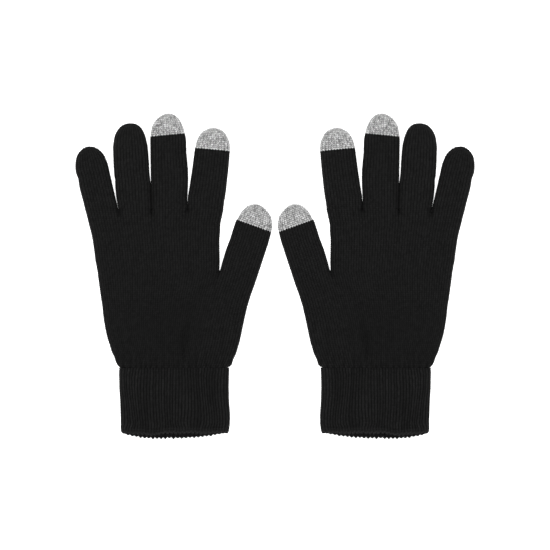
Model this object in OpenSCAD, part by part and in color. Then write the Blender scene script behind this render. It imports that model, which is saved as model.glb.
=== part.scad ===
/* [Pair] */
// Gap between the two thumbs when the gloves lie side by side
pair_gap = 2.8; // [1:0.2:40]

/* [Cuff] */
// Width of the ribbed cuff lying flat
cuff_w = 72.8; // [60:0.2:90]
// Length of the cuff, from the longer edge of its mouth to the hand
cuff_l = 47.2; // [32:0.2:80]
// Height of the cuff as it lies
cuff_t = 9.5; // [8:0.1:16]
// Thickness of the ribbed fabric
rib_wall = 1.6; // [1:0.1:2]
// How much further the under layer of the mouth reaches than the upper one
mouth_rake = 4.3; // [0:0.1:8]
// Length of the finished edge around the mouth
edge_l = 3.2; // [2:0.1:5]
// Thickness of the finished edge at the mouth
edge_wall = 1.9; // [1:0.1:2.4]
// Number of elastic yarns that run round inside the cuff
elastic_count = 6; // [2:1:8]
// Thickness of an elastic yarn
elastic_d = 0.5; // [0.3:0.1:0.8]

/* [Hand] */
// Length from the cuff to the thumb fork
thumb_fork_l = 63.4; // [50:0.2:80]
// Length from the thumb fork to the finger forks
finger_fork_l = 41; // [32:0.2:56]
// Distance from the cuff's centre line to the little-finger side, level with the thumb fork
hand_side = 51; // [44:0.2:62]
// Distance from the cuff's centre line to the thumb fork
thumb_fork_side = 29.8; // [24:0.2:38]
// Distance from the cuff's centre line to the index-finger side, level with the finger forks
index_side = 32.4; // [26:0.2:40]
// Height of the hand as it lies
hand_t = 9.5; // [8:0.1:16]
// Thickness of the plain knitted fabric
wall = 1.3; // [0.8:0.1:1.6]

/* [Fingers] */
// Lengths of the index, middle, ring and little fingers from their forks
finger_l = [54, 63.4, 57, 42.6]; // [36:0.2:80]
// Widths of the index, middle, ring and little fingers
finger_w = [23.5, 24.6, 23.9, 22.1]; // [18:0.1:30]
// Widths that the index, middle, ring and little fingers share out along the hand
finger_root_w = [23.6, 23.9, 22, 21.9]; // [18:0.1:30]
// Lean of each finger where it leaves the hand, positive towards the thumb
finger_lean = [8, 0, -5.5, -14]; // [-16:0.5:16]
// Lean of each finger at its end
finger_end_lean = [3, -3, -0.5, -10]; // [-16:0.5:16]
// Height of a finger as it lies
finger_t = 8.6; // [8:0.1:12]

/* [Thumb] */
// Length of the thumb from its fold
thumb_l = 50; // [40:0.2:64]
// Width of the thumb
thumb_w = 25; // [20:0.1:32]
// Lean of the thumb where it leaves the hand
thumb_lean = 18.5; // [10:0.5:28]
// Lean of the thumb at its end
thumb_end_lean = 16; // [6:0.5:28]
// Height of the thumb as it lies
thumb_t = 9; // [8:0.1:12]

/* [Tips] */
// Length of the rounded end of every digit
round_l = 17; // [12:0.5:20]
// Length of each conductive tip
cap_l = 14.8; // [10:0.2:22]

/* [Clearances] */
// Space between a digit and its neighbours where it leaves the hand
fork_gap = 0.5; // [0.3:0.1:1.5]
// Space between the hand and a digit along the digit's fold
fold_gap = 0.35; // [0.3:0.05:1]
// Space between an elastic yarn and the fabric around it
yarn_gap = 0.1; // [0.05:0.05:0.3]

/* [Hidden] */
SIDES = ["left", "right"];
HAND_PIECES = ["cuff", "cuff_edge", "cuff_elastic", "lower_palm", "upper_palm", "fork_stitches"];
FINGERS = ["index_finger", "middle_finger", "ring_finger", "little_finger"];
TIPS = ["index_tip", "middle_tip"];
PIECES = concat(HAND_PIECES, FINGERS, TIPS, ["thumb", "thumb_tip"]);

BLACK = "#1d1d1f";
RIB_BLACK = "#18181a";
SILVER = "#a9a9ad";
ELASTIC = "#3a3a3d";

digit_sides = 24;       // points round a digit
hand_sides = 32;        // points round the hand and the cuff
hand_steps = 6;         // rings along each stretch of the hand
straight_steps = 4;     // rings along the straight part of a digit
round_steps = 6;        // rings over the rounded end of a digit
last_ring = 80;         // how far round the end its last ring sits, in degrees

side_height = 0.3;      // height of a section's widest points, as a share of its height
edge_power = 0.75;      // roundness of a section's sides when it is plump times wider than high
plump = 2.8;
level = 1.3;            // how early the underside becomes level
end_height = 0.25;      // height of a digit's very end, as a share of its height
root_blend = 24;        // length over which a digit turns from its fold to its own lean
stitch_d = 1.4;         // thickness of the thread that closes a fork
stitch_inset = 1.6;     // distance of that thread from the edge of the fabric
stitch_depth = 0.4;     // how far that thread stops short of the outer faces

thumb_fork_y = cuff_l + thumb_fork_l;
finger_fork_y = thumb_fork_y + finger_fork_l;
root_sum = [0, for (i = 0, s = finger_root_w[0]; i < 4; i = i + 1, s = s + (i < 4 ? finger_root_w[i] : 0)) s];
little_side = root_sum[4] - index_side;

// A digit: where it leaves the hand, direction of its fold, leans, length, widths and height
function finger(i) = [
    [index_side - root_sum[i] - finger_root_w[i] / 2, finger_fork_y],
    0, finger_lean[i], finger_end_lean[i], finger_l[i],
    finger_root_w[i] - fork_gap * 2, finger_w[i], finger_t];
THUMB = [
    [thumb_fork_side + thumb_w / 2 * cos(thumb_lean), thumb_fork_y - thumb_w / 2 * sin(thumb_lean)],
    thumb_lean, thumb_lean, thumb_end_lean, thumb_l,
    thumb_w - fork_gap * 2, thumb_w, thumb_t];

function root(d) = d[0];
function fold(d) = d[1];
function lean_at(d, s) = d[2] + (d[3] - d[2]) * s / d[4];
function long(d) = d[4];
function high(d) = d[7];
function ease(v) = let (c = min(1, max(0, v))) c * c * (3 - 2 * c);
function width_at(d, s) = d[5] + (d[6] - d[5]) * ease(s / root_blend);
function turn_at(d, s) = fold(d) + (lean_at(d, s) - fold(d)) * ease(s / root_blend);

// Centre line of a digit: an arc whose lean changes evenly along it
function axis_at(d, s) = let (a = (d[2] + lean_at(d, s)) / 2) root(d) + s * [sin(a), cos(a)];

// Share of a digit's full section: 1 along its straight part, then a quarter ellipse to its end
function share(s, start, end) = s <= start ? 1 : sqrt(max(0, 1 - pow((s - start) / (end - start), 2)));

function signed_pow(v, e) = sign(v) * pow(abs(v), e);

// Section of a tube that lies flat, as points [across, up]: level underside, round sides, low crown
function section(w, low, high, power, sides) =
    let (mid = low + side_height * (high - low))
    [for (k = [0:sides - 1])
        let (a = 360 * k / sides, rise = pow(abs(sin(a)), 0.8))
        [w / 2 * signed_pow(cos(a), power),
         k <= sides / 2 ? mid + (high - mid) * rise : max(low, mid - (mid - low) * level * rise)]];
function power_for(w, t) = edge_power * sqrt(min(1, plump * t / w));

function digit_ring(d, s, inset) =
    let (g = share(s, long(d) - round_l, long(d) - inset),
         end = end_height * high(d),
         w = (width_at(d, s) - 2 * inset) * g,
         low = inset + (end - inset) * pow(1 - g, 2),
         top = end + (high(d) - inset - end) * pow(g, 0.7),
         c = axis_at(d, s),
         a = turn_at(d, s))
    [for (p = section(w, low, top, edge_power, digit_sides)) [c.x + p.x * cos(a), c.y - p.x * sin(a), p.y]];
function digit_end(d, inset) = let (c = axis_at(d, long(d) - inset)) [c.x, c.y, end_height * high(d)];

// Places of the rings from s to the rounded end, closer together towards the end
function stations(d, s, inset) =
    let (start = long(d) - round_l,
         reach = round_l - inset,
         first = s < start ? 0 : asin((s - start) / reach))
    concat(
        s < start ? [for (k = [0:straight_steps - 1]) s + (start - s) * k / straight_steps] : [],
        [for (k = [0:round_steps - 1]) start + reach * sin(first + (last_ring - first) * k / (round_steps - 1))]);

// The two triangles of a four-sided face, split between its second and fourth corners
function halves(a, b, c, d) = [[a, b, d], [b, c, d]];

// Triangles between n successive rings of m points
function bands(n, m) = [
    for (i = [0:n - 2], k = [0:m - 1])
        let (here = i * m, there = here + m, next = (k + 1) % m)
        each halves(there + k, there + next, here + next, here + k)];

// Triangles between the last ring and the first, split to match the tube that meets them there
function closing_band(n, m) = [
    for (k = [0:m - 1])
        let (last = (n - 1) * m, next = (k + 1) % m)
        each halves(last + k, k, next, last + next)];
function flat_list(rings) = [for (r = rings) for (p = r) p];
function reversed(list) = [for (i = [len(list) - 1:-1:0]) list[i]];

// Tube open at both ends, from its outer rings and its inner rings in the same order
module open_tube(outer, inner) {
    rings = concat(reversed(outer), inner);
    n = len(rings);
    m = len(rings[0]);
    polyhedron(flat_list(rings), concat(bands(n, m), closing_band(n, m)), convexity = 6);
}

// Tube closed at its far end, where the last outer and inner rings run to a point each
module closed_tube(outer, inner, outer_end, inner_end) {
    rings = concat(reversed(outer), inner);
    n = len(rings);
    m = len(rings[0]);
    points = concat(flat_list(rings), [outer_end, inner_end]);
    outer_fan = [for (k = [0:m - 1]) [n * m, k, (k + 1) % m]];
    inner_fan = [for (k = [0:m - 1]) [n * m + 1, (n - 1) * m + (k + 1) % m, (n - 1) * m + k]];
    polyhedron(points, concat(bands(n, m), outer_fan, inner_fan), convexity = 6);
}

// Part of a digit from s to its closed end
module digit_with_end(d, s) {
    closed_tube([for (p = stations(d, s, 0)) digit_ring(d, p, 0)],
                [for (p = stations(d, s, wall)) digit_ring(d, p, wall)],
                digit_end(d, 0), digit_end(d, wall));
}

// Part of a digit from its fold to where its tip begins
module digit_without_end(d) {
    steps = straight_steps + 1;
    places = [for (k = [0:steps]) fold_gap + (long(d) - cap_l - fold_gap) * k / steps];
    open_tube([for (p = places) digit_ring(d, p, 0)], [for (p = places) digit_ring(d, p, wall)]);
}

// Upper edge of the lower palm: level up to the thumb fork, then along the thumb's fold
function palm_top(x) = thumb_fork_y - max(0, x - thumb_fork_side) * tan(thumb_lean);

// Ring across the hand between two sides, each point raised to its own level
function palm_ring(left, right, share_up, inset) =
    let (w = right - left, t = cuff_t + (hand_t - cuff_t) * share_up)
    [for (p = section(w - 2 * inset, inset, t - inset, power_for(w, t), hand_sides))
        let (x = (left + right) / 2 + p.x)
        [x, cuff_l + (palm_top(x) - cuff_l) * share_up, p.y]];
function lower_left(v) = -cuff_w / 2 - (hand_side - cuff_w / 2) * pow(v, 0.58);
function lower_right(v) =
    cuff_w / 2 + (thumb_fork_side + thumb_w * cos(thumb_lean) - cuff_w / 2) * pow(v, 0.8);

// Ring across the upper palm, whose height falls to that of the fingers
function upper_ring(v, inset) =
    let (left = -hand_side - (little_side - hand_side) * pow(v, 1.3),
         right = thumb_fork_side + (index_side - thumb_fork_side) * pow(v, 3),
         t = hand_t + (finger_t - hand_t) * v,
         w = right - left)
    [for (p = section(w - 2 * inset, inset, t - inset, power_for(w, t), hand_sides))
        [(left + right) / 2 + p.x, thumb_fork_y + finger_fork_l * v, p.y]];

// Ring round the cuff; rake shares out how far the mouth's slant reaches up to this ring
function cuff_ring(y, rake, inset) = [
    for (p = section(cuff_w - 2 * inset, inset, cuff_t - inset, power_for(cuff_w, cuff_t), hand_sides))
        let (u = 2 * p.x / cuff_w, up = p.y / cuff_t)
        [p.x, y + rake * (up + (1 - up) * u * u), p.y]];

module cuff() {
    color(RIB_BLACK)
        open_tube([cuff_ring(edge_l, mouth_rake, 0), cuff_ring(cuff_l / 2, 0, 0), cuff_ring(cuff_l, 0, 0)],
                  [cuff_ring(edge_l, mouth_rake, rib_wall), cuff_ring(cuff_l / 2, 0, rib_wall),
                   cuff_ring(cuff_l, 0, rib_wall)]);
}

module cuff_edge() {
    color(BLACK)
        open_tube([cuff_ring(0, mouth_rake, 0), cuff_ring(edge_l, mouth_rake, 0)],
                  [cuff_ring(0, mouth_rake, edge_wall), cuff_ring(edge_l, mouth_rake, rib_wall)]);
}

module cuff_elastic() {
    outer = rib_wall + yarn_gap;
    inner = outer + elastic_d;
    first = edge_l + mouth_rake + elastic_d;
    pitch = (cuff_l - first - 2 * elastic_d) / (elastic_count - 1);
    color(ELASTIC)
        for (i = [0:elastic_count - 1])
            open_tube([for (y = [0, elastic_d]) cuff_ring(first + i * pitch + y, 0, outer)],
                      [for (y = [0, elastic_d]) cuff_ring(first + i * pitch + y, 0, inner)]);
}

module lower_palm() {
    steps = [for (k = [0:hand_steps]) k / hand_steps];
    color(BLACK)
        open_tube([for (v = steps) palm_ring(lower_left(v), lower_right(v), v, 0)],
                  [for (v = steps) palm_ring(lower_left(v), lower_right(v), v, wall)]);
}

module upper_palm() {
    steps = [for (k = [0:hand_steps]) k / hand_steps];
    color(BLACK)
        open_tube([for (v = steps) upper_ring(v, 0)], [for (v = steps) upper_ring(v, wall)]);
}

// Threads that draw the two layers together between neighbouring fingers
module fork_stitches() {
    color(BLACK)
        for (i = [1:3])
            translate([index_side - root_sum[i], finger_fork_y - stitch_inset, stitch_depth])
                cylinder(h = finger_t - 2 * stitch_depth, d = stitch_d, $fn = 24);
}

module finger_tube(i) {
    color(BLACK) digit_without_end(finger(i));
}

module whole_finger(i) {
    color(BLACK) digit_with_end(finger(i), fold_gap);
}

module finger_tip(i) {
    color(SILVER) digit_with_end(finger(i), long(finger(i)) - cap_l);
}

module thumb() {
    color(BLACK) digit_without_end(THUMB);
}

module thumb_tip() {
    color(SILVER) digit_with_end(THUMB, thumb_l - cap_l);
}

// Furthest reach of the thumb towards the other glove: its side beside the ellipse of its end
thumb_reach =
    let (c = axis_at(THUMB, thumb_l - round_l), a = lean_at(THUMB, thumb_l - round_l))
    c.x + norm([round_l * sin(a), thumb_w / 2 * cos(a)]);
glove_top = axis_at(finger(1), finger_l[1]).y;

// Puts a piece of the left glove in its place, or its mirror image in the right one's
module glove(side) {
    place = [-thumb_reach - pair_gap / 2, -glove_top / 2, 0];
    if (side == "right") mirror([1, 0, 0]) translate(place) children();
    else translate(place) children();
}

for (side = SIDES) {
    glove(side) cuff();
    glove(side) cuff_edge();
    glove(side) cuff_elastic();
    glove(side) lower_palm();
    glove(side) upper_palm();
    glove(side) fork_stitches();
    glove(side) finger_tube(0);
    glove(side) finger_tube(1);
    glove(side) whole_finger(2);
    glove(side) whole_finger(3);
    glove(side) finger_tip(0);
    glove(side) finger_tip(1);
    glove(side) thumb();
    glove(side) thumb_tip();
}
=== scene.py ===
import math

import bpy
import numpy as np
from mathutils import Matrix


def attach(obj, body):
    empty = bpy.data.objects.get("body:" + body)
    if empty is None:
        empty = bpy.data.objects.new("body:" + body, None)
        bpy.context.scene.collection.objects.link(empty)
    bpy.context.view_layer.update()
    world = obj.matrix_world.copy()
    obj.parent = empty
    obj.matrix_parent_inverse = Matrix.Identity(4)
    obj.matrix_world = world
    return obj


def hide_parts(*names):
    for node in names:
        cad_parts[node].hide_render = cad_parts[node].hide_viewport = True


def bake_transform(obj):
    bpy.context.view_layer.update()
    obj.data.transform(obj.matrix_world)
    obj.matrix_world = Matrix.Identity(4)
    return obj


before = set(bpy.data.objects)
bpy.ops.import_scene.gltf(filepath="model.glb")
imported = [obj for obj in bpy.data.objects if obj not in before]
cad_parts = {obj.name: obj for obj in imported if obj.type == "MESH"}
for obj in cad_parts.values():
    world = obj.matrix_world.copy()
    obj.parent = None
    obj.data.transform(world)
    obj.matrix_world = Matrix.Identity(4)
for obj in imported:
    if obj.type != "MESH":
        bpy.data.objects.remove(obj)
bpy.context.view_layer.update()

bl_info = {
    "name": "Touchscreen Gloves",
    "version": (1, 0, 0),
    "blender": (4, 5, 0),
    "location": "3D View > Sidebar > Gloves",
    "description": "Knits a pair of gloves, stitch by stitch, round the packed model",
    "category": "Object",
}

MM = 0.001
SIDES = {"left": 1.0, "right": -1.0}

# Sizes in millimetres, in one glove's own frame: across from the cuff's centre line, up from its mouth
CUFF_W, CUFF_L, CUFF_T = 72.8, 47.2, 9.5
RIB_WALL, WALL = 1.6, 1.3
MOUTH_RAKE, EDGE_L = 4.3, 3.2
WAIST, WAIST_L = 0.22, 1.6  # how deep and how far the cloth sinks where the hand meets the cuff
THUMB_FORK_Y, FINGER_FORK_Y = 110.6, 151.6
HAND_SIDE, THUMB_FORK_SIDE, INDEX_SIDE, LITTLE_SIDE = 51.0, 29.8, 32.4, 59.0
HAND_T, FINGER_T, THUMB_T = 9.5, 8.6, 9.0
THUMB_W, THUMB_LEAN = 25.0, 18.5
THUMB_TURN = math.radians(THUMB_LEAN)
ROUND_L, CAP_L = 17.0, 14.8
PLACE = (-66.0119, -107.489)  # from a glove's own frame to the left glove's place in the row frame

SIDE_HEIGHT, EDGE_POWER, PLUMP, LEVEL = 0.3, 0.75, 2.8, 1.3  # shape of every flat-lying section
END_HEIGHT, ROOT_BLEND = 0.25, 24.0
BEND_L, BEND_Z = 20.0, 8.0  # a point along a digit: its length from the root, and a height; add_digit works it out in the row frame but uses it for nothing
LIFT = 0.3  # room for the stitches under the lowest fabric
FLOOR_GAP = 0.02  # lowest that any stitch reaches above the floor
INNER_COURSES = 1.5  # courses between rows of the inner surface
INNER_TONE, END_TONE, YARN_TONE = 0.3, 0.6, 0.6  # tone of inner surfaces, closed ends and loose yarn
RIB_SINK = 0.85  # share of a rib's height that lies in the cloth
NUDGE = 1e-6  # keeps a course that ends on a whole number from being counted as the one before

RISE = 0.9  # how much higher a stitch's arms end than its point begins
PURL_GAP = 0.05  # half of the space between two digits at their fork
HAND_WALES, THUMB_WALES = 48, 14
EDGE_WALES = 0.5  # from a section's side to the first column counted on its top
SIDE_WALES = 3  # round each side of a section, between its top and its bottom
PER_WALE = 4  # columns of points to a wale
LOWER_COURSES, UPPER_COURSES, CUFF_COURSES = 49, 32, 35
COURSE = 1.29  # usual height of a course
RIBS = 80
TOP, RIGHT, BOTTOM, LEFT = range(4)  # the four stretches of a section's columns


# ---------------------------------------------------------------- shape of the gloves


def ease(v):
    """0 below 0, 1 above 1, and 3v2 - 2v3 between."""
    c = np.clip(v, 0, 1)
    return c * c * (3 - 2 * c)


def signed_pow(v, power):
    """The size of v to a power, with v's sign."""
    return np.sign(v) * np.abs(v) ** power


def power_for(width, height):
    """Roundness of a section's sides: flatter sections have tighter sides."""
    return EDGE_POWER * np.sqrt(np.minimum(1, PLUMP * height / width))


def section(angle, width, low, high, power):
    """Across is half the width times cosine to a power. Up is the middle height, plus the crown's
    height times sine to 0.8 on the upper side, less the belly's on the lower one, cut off level."""
    middle = low + SIDE_HEIGHT * (high - low)
    rise = np.abs(np.sin(angle)) ** 0.8
    over = middle + (high - middle) * rise
    under = np.maximum(low, middle - (middle - low) * LEVEL * rise)
    across = width / 2 * signed_pow(np.cos(angle), power)
    return across, np.where(np.sin(angle) >= 0, over, under)


def angle_for(share, power):
    """The angle at which a section reaches a share of its half width, on its upper side."""
    return np.arccos(signed_pow(np.clip(share, -1, 1), 1 / power))


class Columns:
    """Columns of stitches round a tube that lies flat: along its top from first to last, down its
    right side, back along its bottom and up its left side. at is the top's wale that a column
    belongs to, part says which of the four stretches it is in, and share how far along a side."""

    def __init__(self, first, last):
        right = round((round(SIDE_WALES + 2 * last) - 2 * last) * PER_WALE)
        left = round((round(SIDE_WALES - 2 * first) + 2 * first) * PER_WALE)
        top = np.arange(round((last - first) * PER_WALE) + 1) / PER_WALE + first
        right_share = np.arange(1, right) / right
        left_share = np.arange(1, left) / left
        stretches = [
            (top, np.zeros(len(top)), TOP),
            (np.full(len(right_share), last), right_share, RIGHT),
            (top[::-1], np.zeros(len(top)), BOTTOM),
            (np.full(len(left_share), first), left_share, LEFT),
        ]
        self.at = np.concatenate([s[0] for s in stretches])
        self.share = np.concatenate([s[1] for s in stretches])
        self.part = np.concatenate([np.full(len(s[0]), s[2]) for s in stretches])
        self.phase = first + np.arange(len(self.at)) / PER_WALE
        self.last = last

    def angle(self, on_top):
        """Angle of each column round its section, from the angle of its wale on the top."""
        return np.select(
            [self.part == TOP, self.part == RIGHT, self.part == BOTTOM],
            [on_top, on_top * (1 - 2 * self.share), -on_top],
            -on_top - self.share * 2 * (np.pi - on_top),
        )


# How far in millimetres each side is drawn in or let out from the even shape: places along the
# piece, shifts of its left side there, shifts of its right side. Places are counted from a digit's
# root, and from the cuff's mouth on the hand and the cuff. Pieces that meet have the same shift there.
TRIMS = {
    "index_finger": (
        [0, 1, 5, 9, 14, 22, 30, 38, 43, 48, 54],
        [-0.38, -0.75, -1.3, -1.65, -1.3, -0.85, -0.55, -0.3, -0.4, -0.8, -1.4],
        [-0.38, -0.45, -0.5, -0.3, -0.25, -0.25, -0.15, -0.2, 0.4, 0.9, 1.3]),
    "middle_finger": (
        [0, 1, 8, 15, 20, 26, 37, 44, 51, 57, 63],
        [-0.38, -0.65, -0.65, -0.52, -0.45, -0.45, -0.4, -0.25, 0, -0.6, -0.3],
        [-0.38, -0.1, -0.5, -0.25, -0.2, -0.2, -0.95, -0.8, -1.25, -0.7, 0]),
    "ring_finger": (
        [0, 1, 8, 16, 20, 24, 31, 38, 45, 50, 57],
        [-0.38, -0.6, -0.9, -0.45, -0.1, -0.45, -0.5, -0.4, -0.35, -0.7, -1.3],
        [-0.38, -0.1, 0.08, 0.05, -0.5, -0.75, -0.7, -0.9, -1.35, -0.95, 0.4]),
    "little_finger": (
        [0, 1, 9, 16, 23, 27, 33, 38, 43], [-0.38, -0.5, -0.35, -0.35, 0, -0.75, -0.95, -1.3, -0.9],
        [-0.38, -0.15, -0.3, -0.5, -0.6, -0.6, -0.55, -0.55, -1.0]),
    "thumb": (
        [0, 8, 15, 23, 28, 35, 38, 44, 50], [-0.38, -0.9, -0.95, -0.4, -0.45, -0.4, -0.1, -0.8, -2.0],
        [-0.48, -0.5, -0.45, -0.45, -0.35, -0.55, -0.45, -0.3, -1.2]),
    "lower_palm": (
        [47.2, 50, 53, 58, 63, 70, 79, 87, 95, 102, 110.6],
        [-0.4, 0.3, 0.2, -0.3, -0.65, -1.1, -1.1, -0.4, -0.45, -0.35, -0.38],
        [-0.4, -0.1, 0, 0.1, 0.1, -0.4, -1.1, -1.4, -1.2, -0.5, -0.38]),
    "upper_palm": (
        [110.6, 118, 126, 132, 137, 142, 147, 151.6],
        [-0.38, -0.85, -0.45, -0.2, -0.15, -0.3, -0.3, -0.38],
        [-0.38, -0.2, -0.5, -0.75, -0.6, -1.0, -0.55, -0.38]),
    "cuff": (
        [0, 5, 10, 16, 26, 34, 42, 47.2], [1.2, 0.5, 0.4, 0.1, -0.2, -0.65, -0.6, -0.4],
        [-1.6, -0.7, 0, 0, -0.6, -0.7, -0.7, -0.4]),
}


def trim(name, place, share):
    """Shift across at a place along a piece, for a share from 0 on its left side to 1 on its right."""
    places, left, right = TRIMS[name]
    left, right = np.interp(place, places, left), np.interp(place, places, right)
    return left + (right - left) * share


# How far a course leans across a digit near its tip, as a share of the digit's width
SKEWS = {"middle_finger": 0.05, "index_finger": -0.02, "thumb": -0.05}


class Digit:
    """A finger or thumb: where and how it leaves the hand, its leans, length, widths and height."""

    def __init__(self, name, root, fold, lean, end_lean, length, root_w, width, height, wales):
        self.name, self.body = name, name.replace("_finger", "")
        self.root, self.fold, self.lean, self.end_lean = root, fold, lean, end_lean
        self.length, self.root_w, self.width, self.height = length, root_w, width, height
        self.first_wale, self.last_wale = wales
        self.start = length - ROUND_L
        turn = np.radians(np.linspace(0, 90, 200))
        along = np.concatenate([np.linspace(0, self.start, 200)[:-1], self.start + ROUND_L * np.sin(turn)])
        share = np.sqrt(np.clip(1 - (np.maximum(along - self.start, 0) / ROUND_L) ** 2, 0, 1))
        top = height * (END_HEIGHT + (1 - END_HEIGHT) * share**0.7)
        run = np.concatenate([[0], np.cumsum(np.hypot(np.diff(along), np.diff(top)))])
        self.cap_courses = round(np.interp(length - CAP_L, along, run) / COURSE)
        pitch = np.interp(length - CAP_L, along, run) / self.cap_courses
        self.table = run / pitch, along
        self.courses = run[-1] / pitch

    def place(self, course):
        """Distance along the digit of a course, by the length of its upper centre line."""
        return np.interp(course, *self.table)

    def top_angle(self, at):
        """Angle of a wale on the top, where wales are spaced evenly across the root."""
        half = (self.last_wale - self.first_wale) / 2
        share = (at - self.first_wale - half) / half * self.root_w / (self.root_w - 2 * PURL_GAP)
        return angle_for(share, EDGE_POWER)

    def spot(self, angle, course, depth, skew=0.0):
        """The centre line is an arc whose lean changes evenly. The section stands across it, and
        its width and height shrink over the rounded end with the quarter ellipse's share g:
        width by g, crown by g to 0.7, belly by (1 - g) squared."""
        s = self.place(course)
        full = section(angle, 1.0, 0, 1, EDGE_POWER)[0]
        s = np.clip(s + skew * full * self.width * np.clip((self.length - s) / 6, 0, 1), -2, self.length)
        s = s * (self.length - depth) / self.length
        end = self.length - depth
        g = np.sqrt(np.clip(1 - (np.maximum(s - self.start, 0) / (end - self.start)) ** 2, 0, 1))
        root_w = self.root_w - 2 * PURL_GAP
        width = root_w + (self.width - root_w) * ease(s / ROOT_BLEND) - 2 * depth
        tip = END_HEIGHT * self.height
        low = depth + (tip - depth) * (1 - g) ** 2
        high = tip + (self.height - depth - tip) * g**0.7
        across, up = section(angle, width * g, low, high, EDGE_POWER)
        across = across + trim(self.name, s, full + 0.5)
        lean = self.lean + (self.end_lean - self.lean) * s / self.length
        arc = np.radians((self.lean + lean) / 2)
        turn = np.radians(self.fold + (lean - self.fold) * ease(s / ROOT_BLEND))
        x = self.root[0] + s * np.sin(arc) + across * np.cos(turn)
        y = self.root[1] + s * np.cos(arc) - across * np.sin(turn)
        return np.stack([x, y, LIFT + up * (1 - LIFT / self.height)], -1)


WALE = (INDEX_SIDE + LITTLE_SIDE) / HAND_WALES
FORKS = [8.8, -15.1, -37.1]
FINGER_EDGES = [INDEX_SIDE, *FORKS, -LITTLE_SIDE]
FINGER_SIZES = {
    "index_finger": (8.0, 3.0, 54.0, 23.5),
    "middle_finger": (0.0, -3.0, 63.4, 24.6),
    "ring_finger": (-5.5, -0.5, 57.0, 23.9),
    "little_finger": (-14.0, -10.0, 42.6, 22.1),
}


def finger(i, name):
    """One finger, between two of the forks along the hand's edge."""
    right, left = FINGER_EDGES[i], FINGER_EDGES[i + 1]
    lean, end_lean, length, width = FINGER_SIZES[name]
    wales = (left + LITTLE_SIDE) / WALE, (right + LITTLE_SIDE) / WALE
    root = (right + left) / 2, FINGER_FORK_Y
    return Digit(name, root, 0.0, lean, end_lean, length, right - left, width, FINGER_T, wales)


DIGITS = {name: finger(i, name) for i, name in enumerate(FINGER_SIZES)}
THUMB_ROOT = (
    THUMB_FORK_SIDE + THUMB_W / 2 * math.cos(THUMB_TURN),
    THUMB_FORK_Y - THUMB_W / 2 * math.sin(THUMB_TURN))
DIGITS["thumb"] = Digit(
    "thumb", THUMB_ROOT, THUMB_LEAN, THUMB_LEAN, 16.0, 50.0, THUMB_W, THUMB_W, THUMB_T,
    (HAND_WALES, HAND_WALES + THUMB_WALES))


def digit_columns(digit):
    """Columns of a digit, whose upper ones carry on from the hand's."""
    first = math.ceil((digit.first_wale + EDGE_WALES) * PER_WALE) / PER_WALE
    last = math.floor((digit.last_wale - EDGE_WALES) * PER_WALE) / PER_WALE
    return Columns(first, last)


def palm_top(x):
    """Upper edge of the lower palm: level up to the thumb fork, then along the thumb's fold."""
    return THUMB_FORK_Y - np.maximum(0, x - THUMB_FORK_SIDE) * math.tan(THUMB_TURN)


def lobes(at, digits, thick):
    """Upper and lower heights that a hand's edge has where it meets its digits: each digit's own
    section, with a web between neighbours."""
    web, top, bottom = 0.8, np.full(at.shape, -1e3), np.full(at.shape, 1e3)
    middle = SIDE_HEIGHT * thick
    for first, last, width, height in digits:
        share = np.clip((2 * at - first - last) / (last - first) * width / (width - 2 * PURL_GAP), -1, 1)
        power = power_for(width, height)
        over = section(angle_for(share, power), width, 0, height, power)[1]
        under = section(-angle_for(share, power), width, 0, height, power)[1]
        inside = (at >= first) & (at <= last)
        top = np.where(inside, np.maximum(middle + web, over), top)
        bottom = np.where(inside, np.minimum(middle - web, under), bottom)
    return top, bottom


def hand_spot(columns, v, depth, sides, spread, height, forks, digits, top_at, lobe_run, piece):
    """A point of the hand, for v from 0 at its lower edge to 1 at its upper one. sides gives its two
    edges at v, spread how wales share out the width, height its thickness and top_at its place up.
    Over the last lobe_run of v its one section turns into those of its digits, forks thick."""
    left, right = sides(v)
    width = right - left
    thick = height(v)
    power = power_for(width, thick)
    share = 2 * spread(columns.at, v) - 1
    angle = columns.angle(angle_for(share, power))
    across, up = section(angle, width, 0, thick, power)
    lobe = ease((v - 1 + lobe_run) / lobe_run)
    top, bottom = lobes(columns.at + 0 * v, digits, forks)
    flat = np.isin(columns.part, (TOP, BOTTOM))
    rise = np.abs(1 - 2 * columns.share) ** 0.8
    edge = SIDE_HEIGHT * forks
    side_up = edge + np.where(np.sin(angle) >= 0, top - edge, bottom - edge) * rise
    target = np.where(flat, np.where(columns.part == BOTTOM, bottom, top), side_up)
    up = up + (target - up) * lobe
    if depth:
        middle = SIDE_HEIGHT * thick
        across = across * (1 - 2 * depth / width)
        thin = depth * np.abs(np.sin(angle)) ** 0.3
        up = middle + np.sign(up - middle) * np.maximum(0.05, np.abs(up - middle) - thin)
    x = (left + right) / 2 + across
    x = x + trim(piece, top_at(x, v), 0.5 + across / width)
    y = top_at(x, v)
    return np.stack([x, y, LIFT + up * (1 - LIFT / thick)], -1)


def lower_sides(v):
    """The lower palm's two edges: a power of v each, from the cuff's sides out to the hand's."""
    right_end = THUMB_FORK_SIDE + THUMB_W * math.cos(THUMB_TURN)
    v = np.clip(v, 0, None)
    left = -CUFF_W / 2 - (HAND_SIDE - CUFF_W / 2) * v**0.58
    return left, CUFF_W / 2 + (right_end - CUFF_W / 2) * v**0.8


def lower_spread(at, v):
    """Share of the width left of a wale: at the cuff the hand's wales are drawn in more than the
    thumb's, which start at the gusset, and at the thumb fork each has its even part."""
    gusset = 14.0
    width = HAND_SIDE + THUMB_FORK_SIDE + THUMB_W * math.cos(THUMB_TURN)
    points = [0, HAND_WALES, HAND_WALES + THUMB_WALES]
    below = np.interp(at, points, [0, (gusset + CUFF_W / 2) / CUFF_W, 1])
    above = np.interp(at, points, [0, (HAND_SIDE + THUMB_FORK_SIDE) / width, 1])
    return below + (above - below) * np.clip(v, 0, 1.02)


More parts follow.
